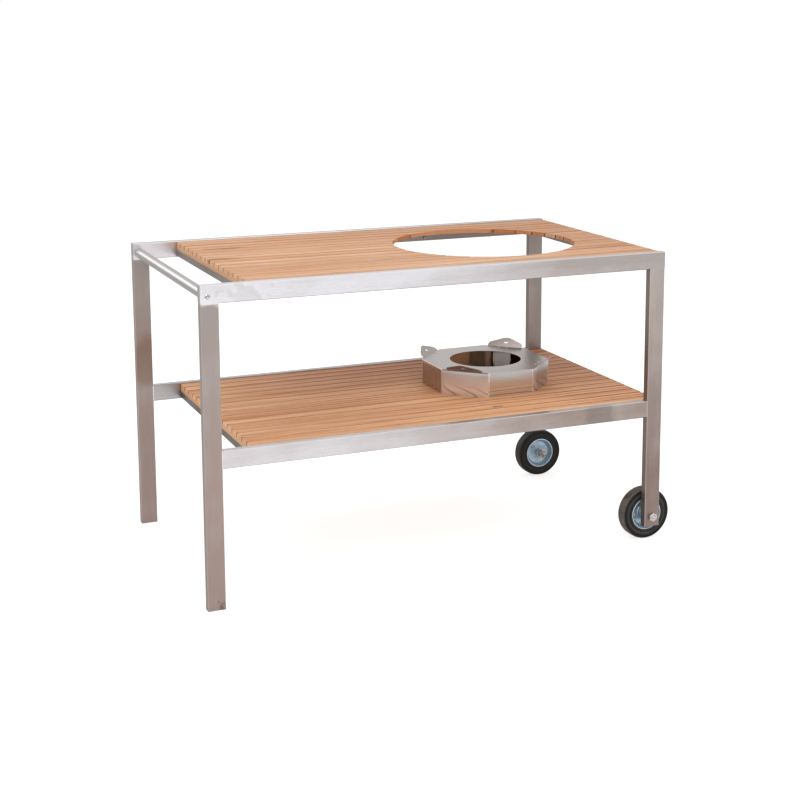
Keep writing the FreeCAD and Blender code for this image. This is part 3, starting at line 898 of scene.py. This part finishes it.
# Panel screws, under the cross tubes
shape = bmesh.new()
for name in sorted(name for name in NODES if "cross_tube" in name):
    low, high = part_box(name)
    for share in (0.06, 0.35, 0.65, 0.94):
        spot = Vector(((low.x + high.x) / 2, low.y + (high.y - low.y) * share, low.z))
        button_head(shape, 4.6 * MM, 2.4 * MM, 3.0 * MM, 1.4 * MM, spot, Z * -1)
piece("panel_screws", shape, "frame", bright_steel)

# The small bolt in the rear rail's inner wall, seen through the cut-out, and a plug under the rail
wall_bolt = Vector((0.2405, inner_face, 0.862))
rail_plug = Vector((0.486, outer_face - 12 * MM, rail_low.z))
shape = bmesh.new()
hex_head(shape, 10.0 * MM, 5.0 * MM, wall_bolt, Y * -1)
dome(shape, 4.0 * MM, 2.6 * MM, rail_plug, Z * -1)
piece("rear_rail_bolt", shape, "frame", rail_bolt_steel)

# Weld seams, ground nearly flush, that fill the grooves where the tubes meet
tube_corner = 1.5 * MM
seam_out = 0.15 * MM
seam_section = [(-tube_corner * 0.9, 0.0), (seam_out * 0.2, -tube_corner), (seam_out, 0.0),
                (seam_out * 0.2, tube_corner)]
shelf_rail_low, shelf_rail_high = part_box("front_shelf_rail")
seams = bmesh.new()
for leg in ("front_left_leg", "rear_left_leg", "front_right_leg", "rear_right_leg"):
    low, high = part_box(leg)
    across = X * (high.x - low.x - 2 * tube_corner)
    upright = Z * (shelf_rail_high.z - shelf_rail_low.z - 2 * tube_corner)
    shelf_side = high.x if low.x < 0 else low.x
    for face, out in ((low.y, Y * -1), (high.y, Y)):
        sweep(seams, seam_section, Vector((low.x + tube_corner, face, high.z)), across, out, Z)
        start = Vector((shelf_side, face, shelf_rail_low.z + tube_corner))
        sweep(seams, seam_section, start, upright, out, X)
piece("weld_seams", seams, "frame", rail_steel, sharp=80)

# Stand
stand_centre = Vector((stand_mid.x, stand_mid.y, stand_low.z))
stand_height = 78.0 * MM
fold = 3.0 * MM
side_gap = 0.5 * MM
hole_radius = 112.5 * MM
hole_points = 128
eased = 0.25 * MM
flange = 26.0 * MM
side_bow = 0.9 * MM
corner_bow = 2.2 * MM
bulge_scale = 2.6
tab_half = 58.0 * MM
tab_shoulder = 17.0 * MM
tab_reach = 44.0 * MM
tab_round = 14.0 * MM
tab_tip_round = tab_round * 2.2
tab_angle = math.radians(36.0)
slot_reach = 20.0 * MM
slot_half = 3.5 * MM
slot_straight = 3.5 * MM
rivet_place = 14.0 * MM
rivet_reach = 172.0 * MM
FOLDED = (0, 2, 4, 6)
CORNERS = (1, 3, 5, 7)


def outward(index):
    """The directions out of and along one of the stand's eight sides."""
    angle = math.radians(45 * index)
    out = Vector((math.cos(angle), math.sin(angle), 0))
    return out, Vector((-out.y, out.x, 0))


def folded_side(shape, index, height, reach, bulge=0.0):
    """A side of the stand whose top is folded inwards by its reach, and whose sheet bulges out.
    Its inner faces get the piece's second material."""
    out, along = outward(index)
    rise = 12
    outer = [(stand_half, height * 0.94 * k / rise, 0) for k in range(rise)]
    section = rounded(outer + [(stand_half, height, fold), (stand_half - reach, height, 0),
                               (stand_half - reach, height - sheet, 0),
                               (stand_half - sheet, height - sheet, fold - sheet),
                               (stand_half - sheet, 0, 0)], steps=5)
    half = side_half - side_gap
    columns = 16
    rows = []
    for i in range(columns + 1):
        place = half * (2 * i / columns - 1)
        row = []
        for p in section:
            share = min(1.0, p.y / height)
            sag = bulge_scale * share ** 0.5 * (1 - share)
            bow = bulge * sag * math.cos(math.pi / 2 * place / half) ** 0.5
            width = p.x + bow * (p.x > stand_half - reach)
            row.append(shape.verts.new(stand_centre + out * width + along * place + Z * p.y))
        rows.append(row)
    count = len(section)
    for i in range(columns):
        for k in range(count):
            n = (k + 1) % count
            face = shape.faces.new((rows[i][k], rows[i][n], rows[i + 1][n], rows[i + 1][k]))
            inner = max(section[k].x, section[n].x) <= stand_half - sheet + 0.0001
            face.material_index = 1 if inner else 0
    shape.faces.new(rows[0])
    shape.faces.new(rows[-1])


plate = bmesh.new()
outline = []
for index in range(8):
    out, along = outward(index)
    edge = stand_half - fold if index in FOLDED else stand_half
    half = side_half - side_gap
    for place in (-half, half):
        point = out * edge + along * place
        outline.append((point.x, point.y))
circle = []
for k in range(hole_points):
    angle = 2 * math.pi * k / hole_points
    circle.append((hole_radius * math.cos(angle), hole_radius * math.sin(angle)))
plate_top = Matrix.Translation(stand_centre + Z * stand_height)
cut_sheet(plate, [outline, circle], sheet, eased, plate_top)

tab_corners = [(0, -tab_half, 0), (tab_shoulder, -tab_half, tab_round),
               (tab_reach, 0, tab_tip_round), (tab_shoulder, tab_half, tab_round),
               (0, tab_half, 0)]
tab = [(p.x, p.y) for p in rounded(tab_corners, steps=6)]
slot = []
for end in (0, 1):
    for k in range(9):
        angle = math.pi * (end + k / 8)
        slot.append((slot_reach + slot_half * math.cos(angle),
                     slot_straight * (2 * end - 1) - slot_half * math.sin(angle)))
tab_foot_reach = stand_half - sheet * math.sin(tab_angle)
for index in CORNERS:
    matrix = (Matrix.Translation(stand_centre) @ Matrix.Rotation(math.radians(45 * index), 4, "Z")
              @ Matrix.Translation((tab_foot_reach, 0, stand_height))
              @ Matrix.Rotation(-tab_angle, 4, "Y"))
    cut_sheet(plate, [tab, slot], sheet, eased, matrix)
piece("stand_folded_plate", plate, "stand", plate_steel, ["stand_plate"], 30)

sides = bmesh.new()
for index in FOLDED:
    folded_side(sides, index, stand_height, fold, side_bow)
piece("stand_folded_sides", sides, "stand", side_steel, sharp=30,
      hidden=inner_steel)

panels = bmesh.new()
for index in CORNERS:
    folded_side(panels, index, stand_height - sheet, flange, corner_bow)
piece("stand_folded_corners", panels, "stand", corner_steel,
      ["stand_corner_panels"], 30, inner_steel)

rivets = bmesh.new()
for index in CORNERS:
    out, along = outward(index)
    for place in (-rivet_place, rivet_place):
        spot = stand_centre + out * rivet_reach + along * place + Z * stand_height
        dome(rivets, 3.6 * MM, 1.4 * MM, spot, Z, dimple=1.2 * MM)
piece("stand_rivets", rivets, "stand", bright_steel)

# Background, floor, lights and camera
WHITE = (1, 1, 1, 1)


def looked_at(tree):
    """1 for a camera, glossy or transmitted ray, 0 for the rays that light the object."""
    path = tree.nodes.new("ShaderNodeLightPath")
    seen = path.outputs["Is Camera Ray"]
    for ray in ("Is Glossy Ray", "Is Transmission Ray"):
        either = tree.nodes.new("ShaderNodeMath")
        either.operation = "MAXIMUM"
        tree.links.new(seen, either.inputs[0])
        tree.links.new(path.outputs[ray], either.inputs[1])
        seen = either.outputs[0]
    return seen


def switched(tree, value, off, on, socket):
    """Feed a socket with one number where value is 0 and another where it is 1."""
    level = tree.nodes.new("ShaderNodeMapRange")
    level.inputs["To Min"].default_value = off
    level.inputs["To Max"].default_value = on
    tree.links.new(value, level.inputs["Value"])
    tree.links.new(level.outputs[0], socket)


sky = bpy.context.scene.world or bpy.data.worlds.new("studio")
bpy.context.scene.world = sky
sky.use_nodes = True
tree = sky.node_tree
background = next(node for node in tree.nodes if node.type == "BACKGROUND")
background.inputs["Color"].default_value = WHITE
switched(tree, looked_at(tree), 0.74, 1.0, background.inputs["Strength"])

paper = bpy.data.materials.new("floor_paper")
paper.use_nodes = True
tree = paper.node_tree
surface = tree.nodes["Principled BSDF"]
surface.inputs["Base Color"].default_value = (0.50, 0.50, 0.50, 1)
surface.inputs["Roughness"].default_value = 0.9
surface.inputs["Specular IOR Level"].default_value = 0.0
surface.inputs["Emission Color"].default_value = WHITE
path = tree.nodes.new("ShaderNodeLightPath")
switched(tree, path.outputs["Is Camera Ray"], 0.30, 0.70, surface.inputs["Emission Strength"])
bpy.ops.mesh.primitive_plane_add(size=60)
floor = bpy.context.object
floor.name = "floor"
floor.location = (0, 0, -0.5 * MM)
floor.data.materials.append(paper)
floor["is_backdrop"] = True


def softbox(name, place, target, width, height, power, mirrored=True):
    """A plain area lamp that may be left out of reflections."""
    lamp = bpy.data.lights.new(name, "AREA")
    lamp.shape = "RECTANGLE"
    lamp.size = width
    lamp.size_y = height
    lamp.energy = power
    item = bpy.data.objects.new(name, lamp)
    item.location = place
    item.rotation_euler = (Vector(target) - Vector(place)).to_track_quat("-Z", "Y").to_euler()
    item.visible_glossy = mirrored
    bpy.context.scene.collection.objects.link(item)


softbox("key_softbox", (-2.6, -3.4, 4.2), (0, 0, 0.6), 3.2, 2.4, 58)
softbox("fill_softbox", (3.6, -2.6, 2.6), (0, 0, 0.5), 2.6, 2.6, 26, mirrored=False)
softbox("top_softbox", (0.4, 1.2, 4.6), (0, 0, 0.8), 3.6, 2.4, 28)
softbox("front_softbox", (-0.6, -5.0, 1.5), (0, 0, 0.4), 2.4, 1.2, 95, mirrored=False)
softbox("back_softbox", (-2.3, 4.2, 2.6), (-0.7, 0, 0.87), 2.2, 2.2, 36)

lens = bpy.data.cameras.new("camera")
lens.sensor_width = 36.0
lens.lens = 69.52
lens.shift_x = -0.055
lens.shift_y = -0.165
lens.clip_start = 0.1
lens.clip_end = 100.0
camera = bpy.data.objects.new("camera", lens)
camera.location = (-1.7539, -4.3106, 1.6231)
camera.rotation_euler = (math.radians(80.371), 0, math.radians(-23.739))
bpy.context.scene.collection.objects.link(camera)
bpy.context.scene.camera = camera
bpy.context.scene.view_settings.view_transform = "Standard"

low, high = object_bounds()
